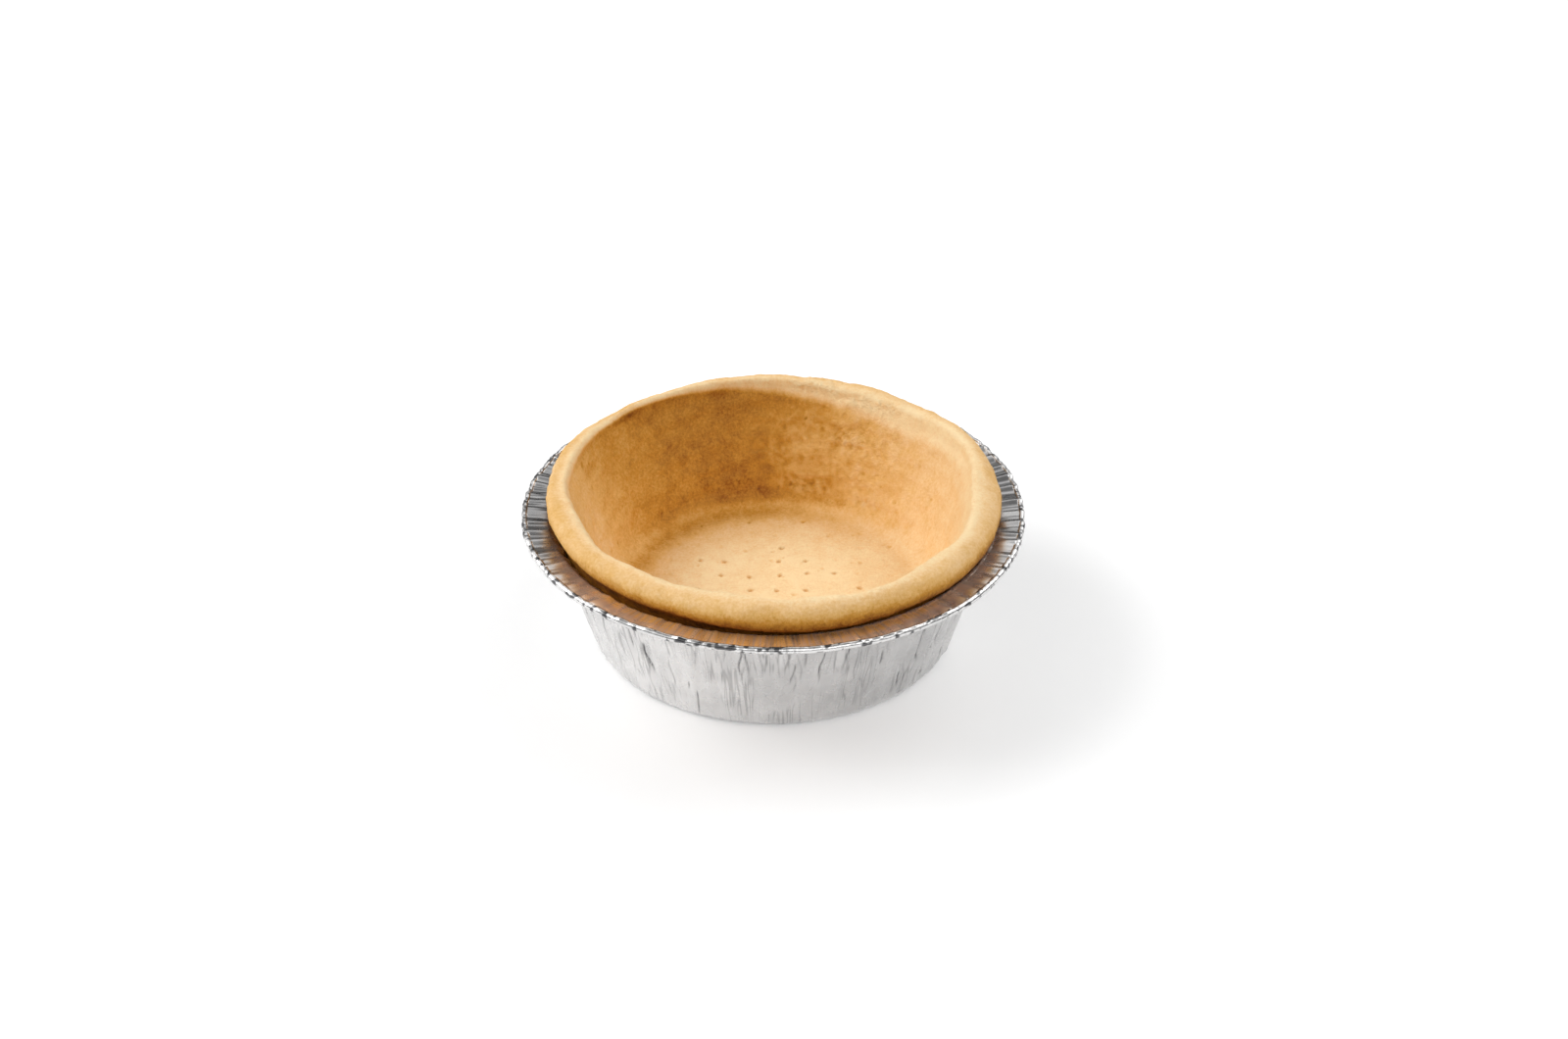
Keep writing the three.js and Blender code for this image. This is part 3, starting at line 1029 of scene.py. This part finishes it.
def pastry_material():
    nodes = Nodes("pastry")
    mottle = nodes.minus(nodes.noise(3.2, 6, 0.65), 0.5)
    speck = nodes.minus(nodes.noise(0.7, 4, 0.7), 0.5)
    crumbs = nodes.minus(nodes.noise(1.4, 3, 0.6), 0.5)
    crumbs = nodes.times(crumbs, nodes.painted("torn"))
    # Browning, with the painted shade that is mixed into it.
    brown = nodes.plus(nodes.painted("bake_and_shade"), nodes.times(mottle, MOTTLE_BAKE))
    brown = nodes.plus(brown, nodes.times(speck, SPECK_BAKE))
    brown = nodes.minus(brown, nodes.times(crumbs, CRUMB_BAKE))
    # Painted shade in the holes and pits.
    brown = nodes.plus(brown, nodes.painted("hole_shade"))
    colour = nodes.ramp(nodes.times(brown, 1 / BROWN_SPAN), PASTRY_COLOURS)
    nodes.set(Base_Color=colour, Roughness=PASTRY_ROUGHNESS, Specular_IOR_Level=PASTRY_SPECULAR)
    grain = nodes.bump(nodes.noise(0.5, 5, 0.7), 0.25, 0.9)
    grain = nodes.bump(crumbs, 1.6, 0.9, grain)
    nodes.set(Normal=nodes.bump(nodes.noise(1.8, 4, 0.6), 0.3, 0.5, grain))
    return nodes.material


def floor_material():
    """White, with a faint glow that keeps it white up to the horizon."""
    nodes = Nodes("floor")
    tone = nodes.ramp(nodes.noise(60, 2), [(0.4, (0.90, 0.90, 0.90)), (0.6, (0.92, 0.92, 0.92))])
    place = nodes.add("ShaderNodeTexCoord").outputs["Object"]
    place = nodes.vector("MULTIPLY", place, (1 / GLOW_REACH,) * 3)
    gradient = nodes.add("ShaderNodeTexGradient", Vector=place)
    gradient.gradient_type = "SPHERICAL"
    nearness = gradient.outputs["Fac"]
    glow = nodes.between(nearness, (0, 0.7), GLOW)
    glow = nodes.minus(glow, nodes.between(nearness, (0.86, 0.97), (0, GLOW_LOSS)))
    nodes.set(Base_Color=tone, Roughness=0.7, Emission_Color=(1, 1, 1, 1), Emission_Strength=glow)
    return nodes.material


# ---- Floor, light and camera ----


def studio_floor():
    size = FLOOR_REACH
    corners = [(-size, -size, 0), (size, -size, 0), (size, size, 0), (-size, size, 0)]
    mesh = bpy.data.meshes.new("studio_floor")
    mesh.from_pydata(corners, [], [(0, 1, 2, 3)])
    floor = bpy.data.objects.new("studio_floor", mesh)
    floor.data.materials.append(floor_material())
    bpy.context.scene.collection.objects.link(floor)


def softbox(name, place, power):
    """A square light that faces the object."""
    light = bpy.data.lights.new(name, "AREA")
    light.size = SOFTBOX_SIZE
    light.energy = power
    lamp = bpy.data.objects.new(name, light)
    lamp.location = place
    lamp.rotation_euler = (-lamp.location).to_track_quat("-Z", "Y").to_euler()
    bpy.context.scene.collection.objects.link(lamp)


def studio_world():
    """A dim room that lights the object. The camera sees only its white wall."""
    world = bpy.data.worlds.new("studio")
    world.use_nodes = True
    tree = world.node_tree
    room = tree.nodes["Background"]
    place = tree.nodes.new("ShaderNodeTexCoord")
    split = tree.nodes.new("ShaderNodeSeparateXYZ")
    ramp = tree.nodes.new("ShaderNodeValToRGB")
    wall = tree.nodes.new("ShaderNodeBackground")
    seen = tree.nodes.new("ShaderNodeLightPath")
    either = tree.nodes.new("ShaderNodeMixShader")
    set_stops(ramp.color_ramp, [(height, (light,) * 3) for height, light in ROOM_LIGHT])
    wall.inputs["Color"].default_value = (1, 1, 1, 1)
    tree.links.new(place.outputs["Generated"], split.inputs[0])
    tree.links.new(split.outputs["Z"], ramp.inputs["Fac"])
    tree.links.new(ramp.outputs["Color"], room.inputs["Color"])
    tree.links.new(seen.outputs["Is Camera Ray"], either.inputs[0])
    tree.links.new(room.outputs[0], either.inputs[1])
    tree.links.new(wall.outputs[0], either.inputs[2])
    tree.links.new(either.outputs[0], tree.nodes["World Output"].inputs["Surface"])
    bpy.context.scene.world = world


def lights():
    for name, place, power in SOFTBOXES:
        softbox(name, place, power)
    studio_world()
    bpy.context.scene.view_settings.view_transform = "Standard"


def camera():
    lens = bpy.data.cameras.new("camera")
    lens.sensor_width = SENSOR_WIDTH
    lens.lens = CAMERA_LENS
    lens.shift_x, lens.shift_y = CAMERA_SHIFT
    lens.clip_start = 0.01
    viewer = bpy.data.objects.new("camera", lens)
    back = CAMERA_DISTANCE * math.cos(CAMERA_ELEVATION) * MM
    up = (CAMERA_AIM_Z + CAMERA_DISTANCE * math.sin(CAMERA_ELEVATION)) * MM
    viewer.location = (0, -back, up)
    viewer.rotation_euler = (math.pi / 2 - CAMERA_ELEVATION, 0, 0)
    bpy.context.scene.collection.objects.link(viewer)
    bpy.context.scene.camera = viewer


def dress(piece, node):
    """The piece stands for a node, whose part it hides, and rides with the root body."""
    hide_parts(node)
    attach(piece, "root")


camera()
lights()
studio_floor()
dress(foil_dish(), "foil_dish")
dress(pastry_case(), "pastry_case")
